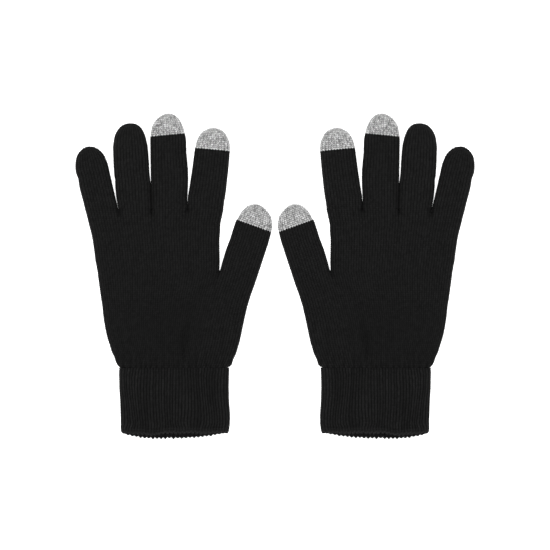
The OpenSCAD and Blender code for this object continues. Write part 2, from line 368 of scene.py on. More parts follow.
def upper_sides(v):
    """The upper palm's two edges, from the hand's width at the thumb fork to the fingers'."""
    v = np.clip(v, 0, None)
    left = -HAND_SIDE - (LITTLE_SIDE - HAND_SIDE) * v**1.3
    return left, THUMB_FORK_SIDE + (INDEX_SIDE - THUMB_FORK_SIDE) * v**3


def upper_spread(at, v):
    """Share of the width left of a wale, the same at every height."""
    return at / HAND_WALES + 0 * v


def lower_palm_point(columns, course, depth):
    """The lower palm's courses rise from the cuff to the thumb fork, tilting towards the thumb."""
    wales = HAND_WALES + THUMB_WALES
    digits = [(0, HAND_WALES, HAND_SIDE + THUMB_FORK_SIDE, HAND_T), (HAND_WALES, wales, THUMB_W, THUMB_T)]
    return hand_spot(
        columns, course / LOWER_COURSES, depth, lower_sides, lower_spread,
        lambda v: CUFF_T + (HAND_T - CUFF_T) * v, HAND_T, digits,
        lambda x, v: CUFF_L + (palm_top(x) - CUFF_L) * v, 0.12, "lower_palm")


def upper_palm_point(columns, course, depth):
    """The upper palm's courses rise level from the thumb fork to the finger forks."""
    digits = [(d.first_wale, d.last_wale, d.root_w, FINGER_T) for d in list(DIGITS.values())[:4]]
    return hand_spot(
        columns, course / UPPER_COURSES, depth, upper_sides, upper_spread,
        lambda v: HAND_T + (FINGER_T - HAND_T) * v, FINGER_T, digits,
        lambda x, v: THUMB_FORK_Y + (FINGER_FORK_Y - THUMB_FORK_Y) * v, 0.17, "upper_palm")


def rib_angles():
    """Angle round the cuff's section against ribs counted evenly along its outline."""
    power = power_for(CUFF_W, CUFF_T)
    over = angle_for(np.linspace(-1, 1, 4001), power)
    angle = np.unique(np.concatenate([np.linspace(-math.pi, math.pi, 4001), over, -over]))[::-1]
    across, up = section(angle, CUFF_W, 0, CUFF_T, power)
    run = np.concatenate([[0], np.cumsum(np.maximum(np.abs(np.diff(across)), np.abs(np.diff(up))))])
    return run / run[-1] * RIBS, angle


RIB_TABLE = rib_angles()


def cuff_point(rib, y, rake, depth):
    """A point of the cuff: the mouth's slant reaches further up the crown and the two sides."""
    angle = np.interp(np.mod(rib, RIBS), *RIB_TABLE)
    power = power_for(CUFF_W, CUFF_T)
    across, up = section(angle, CUFF_W - 2 * depth, depth, CUFF_T - depth, power)
    u, level = 2 * across / CUFF_W, up / CUFF_T
    dip = 0.3 * np.exp(-(((u + 0.45) / 0.2) ** 2)) + 0.06 * np.sin(14 * u)
    y = y + rake * (level * (1 - dip) + (1 - level) * np.abs(u) ** np.where(u < 0, 4, 2))
    across = across + trim("cuff", y, 0.5 + across / CUFF_W)
    return np.stack([across, y, LIFT + up * (1 - LIFT / CUFF_T)], -1)


# ---------------------------------------------------------------- stitches


def zigzag(phase):
    """1 between two wales and 0 on a wale's centre line."""
    return np.abs(2 * np.mod(phase, 1) - 1)


def wave(x, y, seed):
    """Slow, even unevenness from -1 to 1: three seeded sine waves in different directions."""
    rng = np.random.default_rng(seed)
    total = 0
    for turn, size, start in zip(rng.uniform(0, 3.14, 3), (1.0, 1.9, 3.1), rng.uniform(0, 6.28, 3)):
        total = total + np.sin((x * np.cos(turn) + y * np.sin(turn)) * size + start)
    return total / 3


def per_stitch(phase, course, seed):
    """A seeded number from 0 to 1 for each stitch."""
    table = np.random.default_rng(seed).random((97, 101))
    return table[np.floor(phase).astype(int) % 97, np.floor(course).astype(int) % 101]


def normals_of(points):
    """Unit normals of a grid that closes across its columns, from the differences around a point."""
    across = np.roll(points, -1, 1) - np.roll(points, 1, 1)
    along = np.gradient(points, axis=0)
    normal = np.cross(across, along)
    return normal / np.maximum(np.linalg.norm(normal, axis=-1, keepdims=True), 1e-9)


def stitch_height(phase, course, share, fill):
    """From 0 to 1: two arms beside each wale's centre line, as the sine of two turns to a wale to
    0.7, mixed by fill with a single ridge that falls evenly to both sides of the wale's centre.
    Each course rises and falls by share, as the sine of half a turn to a course to 0.8."""
    f = np.mod(phase, 1)
    wale = (1 - 0.55 * fill) * np.abs(np.sin(2 * np.pi * f)) ** 0.7 + fill * (1 - np.abs(2 * f - 1))
    arm = np.abs(np.sin(np.pi * np.mod(course, 1))) ** 0.8
    return wale * (1 - share + share * arm)


def rib_height(rib, course):
    """From 0 to 1: one broad rounded ridge to a rib, some lower than others, with a shallow line down
    its middle and faint courses."""
    f = np.mod(rib, 1)
    ridge = np.abs(np.sin(np.pi * f)) ** 0.65
    line = 1 - 0.22 * np.exp(-(((f - 0.5) / 0.09) ** 2))
    arm = np.abs(np.sin(np.pi * np.mod(course, 1))) ** 0.8
    other = 1 - 0.4 * per_stitch(np.mod(rib, RIBS), 0 * rib, 34)
    return ridge * line * other * (0.55 + 0.45 * arm)


class Shell:
    """A piece's grid of points in one glove's own frame, with the wale, course and height of each.
    step is the wales between two columns, rims are the rows where its outer surface ends, and poles
    the points that close its two ends. Without poles the last row joins the first."""

    def __init__(self, points, phase, course, height, step, rims=(), poles=None):
        self.points, self.phase, self.course, self.height = points, phase, course, height
        self.step, self.rims, self.poles = step, list(rims), poles


class Stitch:
    """A kind of stitch: its relief in millimetres, how far its arms stand apart from the course
    below (arm), how full the wale is at its centre (fill), how deep the whole lies in the cloth
    (sink), how much its tone varies (tone), and points to a course (rows)."""

    def __init__(self, relief, arm=0.6, fill=0.6, sink=0.3, tone=0.6, rows=4):
        self.relief, self.arm, self.fill = relief, arm, fill
        self.sink, self.tone, self.rows = sink, tone, rows


def knit(point, columns, first, last, stitch, seed, poles=None, bump=None, fade=(0, 0)):
    """Outer surface with its stitches from course first to last, then the plain inner surface.
    Each row of points runs in a zigzag along the arms of its stitches, which dies out over fade courses at
    either end. Each point is pushed out along its normal by relief times stitch height, plus a slow swell and
    the piece's own bumps. The height attribute is the stitch's height, varied from stitch to stitch. It sets
    the colour from painted shade in the stitches' grooves to painted light on their crests. Where the piece's
    bumps sink the cloth it is lowered, as painted shade in creases and hollows."""
    across = columns.phase[None]
    outer_rows, inner_rows = round((last - first) * stitch.rows) + 1, round((last - first) / INNER_COURSES)
    course = np.linspace(first, last, outer_rows)[:, None] + 0 * across
    inner_course = np.linspace(first, last, max(3, inner_rows))[:, None] + 0 * across
    if poles:
        course, inner_course = course[:-1], inner_course[:-1]
    surfaces = []
    for grid, depth in ((course, 0), (inner_course, WALL)):
        rise = RISE / COURSE * zigzag(across)
        if fade[0]:
            rise = rise * np.clip((grid - first) / fade[0], 0, 1)
        if fade[1]:
            rise = rise * np.clip((last - grid) / fade[1], 0, 1)
        surfaces.append(point(columns, grid + rise, depth))
    outer, inner = surfaces
    phase = across + 0 * course
    height = stitch_height(phase, course, stitch.arm, stitch.fill)
    loose = 0.8 + 0.35 * per_stitch(phase, course + NUDGE, seed)
    x, y = outer[..., 0], outer[..., 1]
    swell = 0.1 * wave(x / 9, y / 9, seed)
    if poles:
        swell = swell * np.clip((last - course) / 4, 0, 1)
    dent = bump(columns, course, x, y) if bump else np.zeros_like(swell)
    push = stitch.relief * loose * height + swell - stitch.sink + dent
    outer = outer + normals_of(outer) * push[..., None]
    outer[..., 2] = np.maximum(outer[..., 2], FLOOR_GAP)
    tone = 1 + stitch.tone * (per_stitch(phase * 2, course + NUDGE, seed + 50) - 0.5)
    # Painted shade: the colour is darkened where the piece's bumps dent the cloth, such as creases, hollows
    # and the waist.
    height = height * tone * (1 + 0.8 * np.minimum(dent, 0))
    inner_height = np.full(inner_course.shape, INNER_TONE)
    layers = [(outer, course, height), (inner[::-1], inner_course[::-1], inner_height)]
    rims = [0, len(outer) - 1]
    if poles:
        layers.reverse()
        rims = [len(inner)]
    points, course, height = (np.concatenate(parts) for parts in zip(*layers))
    return Shell(points, across + 0 * course, course, height, 1 / PER_WALE, rims, poles)


def quads(rows, columns, wrap):
    """Corners of the faces between neighbouring rows of a grid whose columns close on themselves."""
    i = np.arange(rows if wrap else rows - 1)[:, None]
    j = np.arange(columns)[None]
    near, far = i * columns, (i + 1) % rows * columns
    after = (j + 1) % columns
    return np.stack([near + j, near + after, far + after, far + j], -1).reshape(-1, 4)


def end_fans(rows, columns):
    """Triangles from a shell's first and last row to the two points that close its ends."""
    first, last = rows * columns, rows * columns + 1
    ring = np.arange(columns)
    after, top = (ring + 1) % columns, (rows - 1) * columns
    near = np.stack([np.full(columns, first), after, ring], -1)
    far = np.stack([top + ring, top + after, np.full(columns, last)], -1)
    return near, far


def unbroken(uv, sizes, span):
    """The seam's faces, whose corners lie a whole turn apart, get their low corners moved up a turn."""
    owner = np.repeat(np.arange(len(sizes)), sizes)
    lowest, highest = np.full(len(sizes), 1e9), np.full(len(sizes), -1e9)
    np.minimum.at(lowest, owner, uv[:, 0])
    np.maximum.at(highest, owner, uv[:, 0])
    torn = (highest - lowest)[owner] > span / 2
    low = torn & (uv[:, 0] < lowest[owner] + span / 2)
    return np.stack([np.where(low, uv[:, 0] + span, uv[:, 0]), uv[:, 1]], -1)


def make_object(name, shell, side):
    """The shell as a mesh in its glove's place. The right glove is the left one's mirror image.
    Its UV map Stitches counts wales and courses, and its attribute height is the stitch's own."""
    rows, columns = shell.points.shape[:2]
    points = shell.points.reshape(-1, 3)
    phase, course, height = shell.phase.reshape(-1), shell.course.reshape(-1), shell.height.reshape(-1)
    wrap = shell.poles is None
    polygons = [quads(rows, columns, wrap)]
    if not wrap:
        points = np.concatenate([points, np.array(shell.poles)])
        phase = np.concatenate([phase, [phase[0], phase[0]]])
        course = np.concatenate([course, [course[0], course[-1]]])
        height = np.concatenate([height, [INNER_TONE, END_TONE]])
        polygons.extend(end_fans(rows, columns))
    sign = SIDES[side]
    world = (points + [*PLACE, 0]) * [sign * MM, MM, MM]
    if sign < 0:
        polygons = [p[:, ::-1] for p in polygons]
    sizes = np.concatenate([np.full(len(p), p.shape[1]) for p in polygons])
    corners = np.concatenate([p.reshape(-1) for p in polygons])
    mesh = bpy.data.meshes.new(name)
    mesh.vertices.add(len(world))
    mesh.vertices.foreach_set("co", world.astype(np.float32).reshape(-1))
    mesh.loops.add(len(corners))
    mesh.loops.foreach_set("vertex_index", corners.astype(np.int32))
    mesh.polygons.add(len(sizes))
    starts = np.concatenate([[0], np.cumsum(sizes)[:-1]])
    mesh.polygons.foreach_set("loop_start", starts.astype(np.int32))
    mesh.update(calc_edges=True)
    mesh.validate()
    mesh.polygons.foreach_set("use_smooth", np.ones(len(mesh.polygons), bool))
    uv = unbroken(np.stack([phase[corners], course[corners]], -1), sizes, columns * shell.step)
    layer = mesh.uv_layers.new(name="Stitches")
    layer.data.foreach_set("uv", uv.astype(np.float32).reshape(-1))
    edges = np.empty(len(mesh.edges) * 2, np.int32)
    mesh.edges.foreach_get("vertices", edges)
    edge_rows = edges.reshape(-1, 2) // columns
    rims = np.isin(edge_rows[:, 0], shell.rims) & (edge_rows[:, 0] == edge_rows[:, 1])
    sharp = mesh.attributes.new("sharp_edge", "BOOLEAN", "EDGE")
    sharp.data.foreach_set("value", rims)
    attribute = mesh.attributes.new("height", "FLOAT", "POINT")
    attribute.data.foreach_set("value", height.astype(np.float32))
    obj = bpy.data.objects.new(name, mesh)
    bpy.context.scene.collection.objects.link(obj)
    return obj


# ---------------------------------------------------------------- materials


class Maths:
    """A socket whose sums and products are Math nodes."""

    def __init__(self, tree, socket):
        self.tree, self.socket = tree, socket

    def made(self, operation, *values):
        node = add_node(self.tree, "ShaderNodeMath", {"operation": operation}, dict(enumerate(values)))
        return Maths(self.tree, node.outputs[0])

    def __add__(self, other):
        return self.made("ADD", self, other)

    def __radd__(self, other):
        return self.made("ADD", other, self)

    def __sub__(self, other):
        return self.made("SUBTRACT", self, other)

    def __rsub__(self, other):
        return self.made("SUBTRACT", other, self)

    def __mul__(self, other):
        return self.made("MULTIPLY", self, other)

    def __rmul__(self, other):
        return self.made("MULTIPLY", other, self)

    def sine(self):
        return self.made("SINE", self)

    def fraction(self):
        return self.made("FRACT", self)

    def within(self):
        return self.made("MINIMUM", self.made("MAXIMUM", self, 0.0), 1.0)


def connect(tree, slot, value):
    """Links a socket, or sets a constant."""
    if isinstance(value, Maths):
        tree.links.new(value.socket, slot)
    elif isinstance(value, bpy.types.NodeSocket):
        tree.links.new(value, slot)
    else:
        slot.default_value = value


def add_node(tree, kind, settings=None, inputs=None):
    """A node of one kind with its settings, and its inputs by name or number."""
    node = tree.nodes.new(kind)
    for key, value in (settings or {}).items():
        setattr(node, key, value)
    for key, value in (inputs or {}).items():
        connect(tree, node.inputs[key], value)
    return node


def mixed(tree, factor, low, high):
    """A colour between two others."""
    return add_node(tree, "ShaderNodeMix", {"data_type": "RGBA"}, {0: factor, 6: low, 7: high}).outputs[2]


def yarn_material(name, sunk, light_tone, roughness, shine, sheen, plies, fleck, ply_depth):
    """Knitted yarn. The colour runs with the stitch's own height from a darker tone, painted shade in the
    grooves, to a lighter one, painted light on the crests. It is flecked by fine fibres and slower clouds of
    them. Twisted plies run slantwise along each arm, leaning the other way on the wale's other side, as a
    fine bump."""
    fibre_scale, cloud_scale = 2600.0, 420.0
    material = bpy.data.materials.new(name)
    material.use_nodes = True
    tree = material.node_tree
    tree.nodes.clear()
    where = add_node(tree, "ShaderNodeTexCoord").outputs["Object"]
    uv = add_node(tree, "ShaderNodeUVMap", {"uv_map": "Stitches"}).outputs["UV"]
    parts = add_node(tree, "ShaderNodeSeparateXYZ", inputs={"Vector": uv})
    wale, course = Maths(tree, parts.outputs[0]), Maths(tree, parts.outputs[1])
    attribute = add_node(tree, "ShaderNodeAttribute", {"attribute_name": "height"})
    height = Maths(tree, attribute.outputs["Fac"])
    noises = [
        add_node(tree, "ShaderNodeTexNoise", inputs={"Vector": where, "Scale": scale, "Detail": detail})
        for scale, detail in ((fibre_scale, 4.0), (cloud_scale, 3.0))]
    fine, patch = (Maths(tree, noise.outputs["Fac"]) for noise in noises)
    lean = ((wale.fraction() - 0.5) * 1000.0).within() * 2.0 - 1.0
    ply = ((course * plies + wale * lean * plies * 1.4) * math.tau).sine()
    # Painted light and shade: the height attribute makes the stitches' grooves darker and their crests
    # lighter.
    tint = (height * 0.9 + (fine - 0.5) * fleck * 1.3 + (patch - 0.5) * fleck * 0.5).within()
    colour = mixed(tree, tint, (sunk, sunk, sunk, 1), (light_tone, light_tone, light_tone, 1))
    bumps = add_node(
        tree, "ShaderNodeBump",
        inputs={"Strength": 0.6, "Distance": 0.00012, "Height": ply * ply_depth + fine * 1.2})
    shader = add_node(
        tree, "ShaderNodeBsdfPrincipled",
        inputs={"Base Color": colour, "Roughness": roughness, "Specular IOR Level": shine,
                "Sheen Weight": sheen, "Sheen Roughness": 0.5, "Normal": bumps.outputs[0]})
    add_node(tree, "ShaderNodeOutputMaterial", inputs={"Surface": shader.outputs[0]})
    return material


def plain_material(name, colour, roughness, glow=0.0):
    """One even colour, with a little light of its own."""
    material = bpy.data.materials.new(name)
    material.use_nodes = True
    shader = next(n for n in material.node_tree.nodes if n.type == "BSDF_PRINCIPLED")
    shader.inputs["Base Color"].default_value = (*colour, 1)
    shader.inputs["Roughness"].default_value = roughness
    shader.inputs["Emission Color"].default_value = (*colour, 1)
    shader.inputs["Emission Strength"].default_value = glow
    return material


def material(slot):
    """The material of one slot, made once."""
    name = slot + "_yarn"
    found = bpy.data.materials.get(name)
    if found:
        return found
    look = bpy.context.scene.glove_yarn
    black, silver = look.black, look.silver
    # lightness of the painted shade in the grooves and of the painted light on the crests, roughness, shine,
    # sheen, plies, fleck, depth of the plies
    looks = {
        "plain_knit": (0.0, 1.64 * black, 0.9, 0.10, 0.02, 3.0, 0.4, 0.5),
        "rib_knit": (0.08 * black, 1.7 * black, 0.9, 0.10, 0.02, 3.0, 0.4, 0.5),
        "edge_yarn": (0.15 * black, 2.6 * black, 0.88, 0.12, 0.02, 2.0, 0.3, 0.5),
        "elastic_yarn": (0.02, 0.04, 0.6, 0.3, 0.0, 4.0, 0.2, 0.5),
        "conductive_knit": (0.08 * silver, 2.22 * silver, 0.55, 0.4, 0.0, 3.0, 0.9, 0.8),
    }
    return yarn_material(name, *looks[slot])


# ---------------------------------------------------------------- pieces


def world_point(side, x, y, z):
    """A point of a glove's own frame, in the row frame in metres."""
    return (SIDES[side] * (x + PLACE[0]) * MM, (y + PLACE[1]) * MM, z * MM)


def finish_piece(obj, side, piece, slot, body=None):
    """Material, slot and CAD node of a piece, and the body it rides."""
    obj.data.materials.append(material(slot))
    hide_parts(f"{side}_{piece}")
    if body:
        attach(obj, f"{side}_{body}")


def lower_bump(columns, course, x, y):
    """Small gathers just above the cuff, as a sine across that dies out upwards. On the top only, a crease
    along a bent line from the thumb fork and a shallow hollow, both as bell curves of the distance. The waist
    where the hand meets its cuff. Where these sink the cloth, the colour is also darkened as painted shade."""
    rise = y - CUFF_L
    gathers = 0.38 * np.sin(x * 1.75 + 1.3 * np.sin(x * 0.31)) * np.exp(-rise / 7)
    top = columns.part == TOP
    line = np.interp(y, [60, 91.5, 110.6], [5.2, 11.8, 29.8])
    near = np.interp(y, [50, 58, 66, 76, 95, 108, 112], [0, 0.7, 0.8, 0.35, 0.18, 0.35, 0.2])
    crease = -0.5 * near * np.exp(-(((x - line) / 3.0) ** 2))
    hollow = -0.14 * np.exp(-(((x + 5) / 24) ** 2) - ((y - 72) / 24) ** 2)
    waist = -WAIST * np.exp(-((rise / WAIST_L) ** 2)) * np.isin(columns.part, (TOP, BOTTOM))[None]
    return gathers + np.where(top[None], crease + hollow, 0) + waist


def upper_bump(columns, course, x, y):
    """Soft hollows that lead into the forks, as bell curves across that deepen upwards. The colour in them is
    also darkened as painted shade.
    """
    near = sum(np.exp(-(((x - fork) / 2.5) ** 2)) for fork in FORKS)
    return -0.18 * near * ease((y - 134) / 16) * (columns.part == TOP)[None]


def little_bump(columns, course, x, y):
    """Small loops where the last courses of the little finger are drawn together."""
    digit = DIGITS["little_finger"]
    side = np.where(columns.part == RIGHT, np.exp(-(((columns.share - 0.3) / 0.4) ** 2)), 0)
    top = (columns.part == TOP) & (columns.at > columns.last - 1.1)
    loops = np.abs(np.sin(np.pi * course / 1.6)) ** 0.7
    window = ease((course - digit.courses + 11) / 2) * ease((digit.courses - 1.5 - course) / 2)
    return 0.4 * loops * window * np.where(top, 0.7, side)[None]


def add_hand(piece, point, wales, courses, stitch, seed, flat, **shape):
    """The lower or upper palm of both gloves."""
    for side in SIDES:
        columns = Columns(EDGE_WALES, wales - EDGE_WALES)
        shell = knit(point, columns, 0, courses, stitch, seed, **shape)
        obj = make_object(f"{side}_{piece}_knit", shell, side)
        finish_piece(obj, side, piece, "plain_knit", "hand")


def digit_poles(digit):
    """Middle of a digit's end, inside and outside."""
    return [digit.spot(np.array(0.0), np.array(digit.courses), depth) for depth in (WALL, 0)]


def add_digit(name, seed, closed=False, bump=None):
    """A finger or thumb of both gloves, as far as its tip or with its own end."""
    digit = DIGITS[name]
    stitch = Stitch(bpy.context.scene.glove_yarn.relief)
    turn = math.radians(digit.fold)
    bent = (digit.root[0] + BEND_L * math.sin(turn), digit.root[1] + BEND_L * math.cos(turn))
    if closed:
        last, length, shape = digit.courses, digit.length, {"poles": digit_poles(digit), "fade": (0, 2)}
    else:
        last, length, shape = digit.cap_courses, digit.length - CAP_L, {}
    for side in SIDES:
        shell = knit(digit_point(digit), digit_columns(digit), 0, last, stitch, seed, bump=bump, **shape)
        obj = make_object(f"{side}_{name}_knit", shell, side)
        finish_piece(obj, side, name, "plain_knit")
        world_point(side, *digit.root, BEND_Z)
        world_point(side, *bent, BEND_Z)
        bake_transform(obj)


def add_tip(name, seed):
    """A conductive tip of both gloves."""
    digit = DIGITS[name]
    stitch = Stitch(bpy.context.scene.glove_yarn.tip_relief, arm=1.0, fill=0.3, sink=0.4, tone=1.0, rows=5)
    for side in SIDES:
        shell = knit(
            digit_point(digit), digit_columns(digit), digit.cap_courses, digit.courses, stitch, seed,
            digit_poles(digit), fade=(0, 2))
        obj = make_object(f"{side}_{digit.body}_tip_knit", shell, side)
        finish_piece(obj, side, f"{digit.body}_tip", "conductive_knit", digit.body)


def digit_point(digit):
    """The digit's surface, whose courses lean a little across it towards its tip."""
    skew = SKEWS.get(digit.name, 0)

    def point(columns, course, depth):
        angle = columns.angle(digit.top_angle(columns.at))[None]
        near = ease((course - digit.cap_courses + 14) / 12)
        return digit.spot(angle, course, depth, skew * near)

    return point


def joined_object(name, shells, side):
    """Several shells as one object."""
    parts = [make_object(f"{name}.{i}", s, side) for i, s in enumerate(shells)]
    joined = parts[0]
    with bpy.context.temp_override(
            active_object=joined, selected_editable_objects=parts, selected_objects=parts):
        bpy.ops.object.join()
    joined.name = name
    joined.data.name = name
    return joined


def add_to_hands(name, shells, piece, slot):
    """A piece of both gloves that lies still on the hand, made of one shell or of several."""
    made = {}
    for side in SIDES:
        full = f"{side}_{name}"
        make = make_object if isinstance(shells, Shell) else joined_object
        made[side] = make(full, shells, side)
        finish_piece(made[side], side, piece, slot, "hand")
    return made


def add_cuff():
    """The ribbed cuffs. Ribs run up the outer surface from the edge to the hand and wander sideways
    by two slow sines, none at either end. Each point is pushed out by relief times the rib's
    height. The inner surface has the same ribs half a rib on, and shallower."""
    per_rib, rows, inner_rows, relief = 6, 3, 24, bpy.context.scene.glove_yarn.rib_relief
    rib = np.arange(RIBS * per_rib)[None] / per_rib
    outer_course = np.linspace(0, CUFF_COURSES, CUFF_COURSES * rows + 1)[:, None]
    inner_course = np.linspace(0, CUFF_COURSES, inner_rows)[:, None]
    surfaces = []
    for course, depth in ((outer_course, 0.0), (inner_course, RIB_WALL)):
        grid = course + 0 * rib
        arms = 0.5 * zigzag(rib) * np.clip(np.minimum(grid, CUFF_COURSES - grid) / 2, 0, 1)
        v = (grid + arms) / CUFF_COURSES
        wander = 0.3 * np.sin(rib * 0.47 + 2.2 * v) + 0.45 * np.sin(rib * 0.21 + 4.0 * v)
        wander = wander * (1 - 0.6 * v) * ease(v * 9) * ease((1 - v) * 6)
        y = EDGE_L + (CUFF_L - EDGE_L) * v
        surfaces.append(cuff_point(rib + wander, y, MOUTH_RAKE * (1 - v) ** 2, depth))
    outer, inner = surfaces
    x, y = outer[..., 0], outer[..., 1]
    course = outer_course + 0 * rib
    v = course / CUFF_COURSES
    loose = 0.85 + 0.25 * per_stitch(rib + 0 * course, course + NUDGE, 31)
    height = rib_height(rib, course) * (1 + 0.22 * wave(x / 9, y / 14, 36))
    slow = 0.12 * wave(x / 6, y / 6, 32) * ease(v * 6)
    facing = normals_of(outer)
    waist = -WAIST * np.exp(-(((1 - v) * (CUFF_L - EDGE_L) / WAIST_L) ** 2)) * np.abs(facing[..., 2]) ** 3
    outer = outer + facing * (relief * loose * (height - RIB_SINK) + slow + waist)[..., None]
    outer[..., 2] = np.maximum(outer[..., 2], FLOOR_GAP)
    # The height attribute sets the colour: valleys between the ribs darker as painted shade and ridges
    # lighter as painted light, varied from stitch to stitch.
    height = height * (0.7 + 0.6 * per_stitch(rib * 2 + 0 * course, course + NUDGE, 33))
    inner_height = rib_height(rib + 0.5, inner_course)
    inner = inner + normals_of(inner) * (0.25 * (0.5 - inner_height))[..., None]
    points = np.concatenate([outer, inner[::-1]])
    order = np.concatenate([course, inner_course[::-1] + 0 * rib])
    tall = np.concatenate([height, 0.6 * inner_height[::-1]])
    shell = Shell(points, rib + 0 * order, order, tall, 1 / per_rib, [0, len(outer) - 1])
    return add_to_hands("cuff_rib", shell, "cuff", "rib_knit")


# The edge's section from its inner side, round the mouth, to its outer side: reach up from the
# mouth and depth under the cuff's surface
EDGE_SECTION = np.array([
    (3.2, 1.6), (2.2, 1.75), (1.4, 1.8), (0.8, 1.7), (0.35, 1.5), (0.1, 1.28), (0.0, 0.95), (0.1, 0.62),
    (0.35, 0.35), (0.7, 0.15), (1.1, 0.05), (1.5, -0.02), (2.0, -0.06), (2.6, -0.02), (3.2, 0.0)])


def add_cuff_edge():
    """The finished edges of the cuffs: the section carried round the mouth, let out and drawn in by loops of
    yarn. The cuff's ribs run down its outer side and fade above a thread that follows the mouth, drawn only
    in the colour as a painted highlight."""
    loops, per_loop = 52, 12
    share = np.arange(loops * per_loop)[None] / (loops * per_loop)
    rib, loop = share * RIBS, share * loops
    reach, depth = EDGE_SECTION[:, :1] + 0 * rib, EDGE_SECTION[:, 1:] + 0 * rib
    near = np.clip(1 - reach / 2.4, 0, 1)
    scallop = np.abs(np.sin(np.pi * loop)) * (0.7 + 0.5 * per_stitch(loop, 0 * loop, 35))
    points = cuff_point(rib, reach - 1.2 * near * (scallop - 0.64), MOUTH_RAKE, depth)
    thread = np.abs(np.sin(np.pi * (loop * 2 + reach * 0.7)))
    # Painted highlight: a lighter band along the mouth, beaded by the thread, in the colour only. The ribs'
    # part of the height gives painted light and shade over them.
    line = np.exp(-(((reach - 0.6) / 0.3) ** 2)) * (depth < 0.6)
    ribbed = ease((reach - 0.9) / 0.8)
    ridge = rib_height(rib, reach)
    height = 0.62 * ridge * ribbed + 0.25 * thread**0.8 * (1 - ribbed) + 0.95 * line * thread
    outside = (depth < 1.0) * np.clip(reach / 1.6, 0, 1)
    push = 0.75 * outside * (ridge * ribbed + 0.5 * (1 - ribbed) - RIB_SINK)
    points = points + normals_of(points) * push[..., None]
    points[..., 2] = np.maximum(points[..., 2], FLOOR_GAP)
    steps = np.hypot(*np.diff(EDGE_SECTION, axis=0).T)
    course = np.concatenate([[0], np.cumsum(steps)])[:, None] + 0 * rib
    shell = Shell(points, loop + 0 * course, course, np.clip(height, 0, 1), 1 / per_loop)
    return add_to_hands("cuff_edge_yarn", shell, "cuff_edge", "edge_yarn")


def yarn_shell(path, radius, phase):
    """A closed loop of round yarn: circles across a path that closes on itself."""
    around = 8
    along = np.roll(path, -1, 0) - np.roll(path, 1, 0)
    along = along / np.linalg.norm(along, axis=1, keepdims=True)
    lead = np.cross(along, [0.0, 1.0, 0.0])
    lead = lead / np.maximum(np.linalg.norm(lead, axis=1, keepdims=True), 1e-9)
    other = np.cross(along, lead)
    turn = np.linspace(0, 2 * np.pi, around, endpoint=False)[:, None, None]
    points = path + radius * (np.cos(turn) * lead - np.sin(turn) * other)
    phase = phase + 0 * points[..., 0]
    course = np.arange(around)[:, None] / around + 0 * phase
    return Shell(points, phase, course, YARN_TONE + 0 * phase, phase[0, 1] - phase[0, 0])


def add_elastics():
    """Elastic yarns round the inside of the cuffs, drawn into slow waves by the ribs."""
    count, radius, first, pitch, inset, points = 6, 0.23, 8.25, 7.64, 0.35, 240
    rib = np.arange(points) / points * RIBS
    shells = []
    for i in range(count):
        y = first + i * pitch + 0.06 * np.sin(rib * np.pi + i)
        shells.append(yarn_shell(cuff_point(rib, y, 0, RIB_WALL + inset), radius, rib))
    return add_to_hands("cuff_elastic_yarns", shells, "cuff_elastic", "elastic_yarn")


def add_fork_stitches():
    """Threads wound four times through the web between neighbouring fingers."""
    turns, per_turn, radius, lowest, middle = 4, 24, 0.16, 150.0, 2.6
    t = np.arange(turns * per_turn) / (turns * per_turn)
    angle = 2 * np.pi * turns * t
    shells = []
    for fork in FORKS:
        path = np.stack(
            [fork + 0.5 * np.cos(angle), lowest + np.abs(2 * t - 1), middle + 2.1 * np.sin(angle)], -1)
        shells.append(yarn_shell(path, radius, t * 20))
    add_to_hands("fork_threads", shells, "fork_stitches", "edge_yarn")


def add_stage():
    """A plain pale floor, soft light from above and the camera straight over the pair."""
    scene = bpy.context.scene
    stage = scene.glove_stage
    mesh = bpy.data.meshes.new("floor")
    half, below = 4.0, -1e-4
    corners = [(-half, -half, below), (half, -half, below), (half, half, below), (-half, half, below)]
    mesh.from_pydata(corners, [], [(0, 1, 2, 3)])
    floor = bpy.data.objects.new("floor", mesh)
    scene.collection.objects.link(floor)
    mesh.materials.append(plain_material("floor_paper", (0.92, 0.92, 0.92), 0.9, stage.table_glow))
    world = bpy.data.worlds.new("studio")
    scene.world = world
    world.use_nodes = True
    background = next(n for n in world.node_tree.nodes if n.type == "BACKGROUND")
    background.inputs["Color"].default_value = (1, 1, 1, 1)
    background.inputs["Strength"].default_value = stage.fill
    for name, place, size, power in (
        ("key", (-0.9, 0.9, 1.6), 0.8, stage.key), ("rim", (1.0, -0.5, 1.2), 0.9, stage.key * 0.35)):
        data = bpy.data.lights.new(name, "AREA")
        data.shape, data.size, data.energy = "DISK", size, power
        lamp = bpy.data.objects.new(name, data)
        lamp.location = place
        back = np.array(place) / np.linalg.norm(place)
        lamp.rotation_euler = (math.acos(back[2]), 0, math.atan2(back[1], back[0]) + math.pi / 2)
        scene.collection.objects.link(lamp)
    camera_data = bpy.data.cameras.new("camera")
    camera_data.lens, camera_data.sensor_width = stage.lens, 36.0
    camera_data.clip_start, camera_data.clip_end = 0.1, 20.0
    camera = bpy.data.objects.new("camera", camera_data)
    camera.location = (0, 0.0008, stage.distance)
    scene.collection.objects.link(camera)
    scene.camera = camera
    scene.view_settings.view_transform = "Standard"


# ---------------------------------------------------------------- add-on


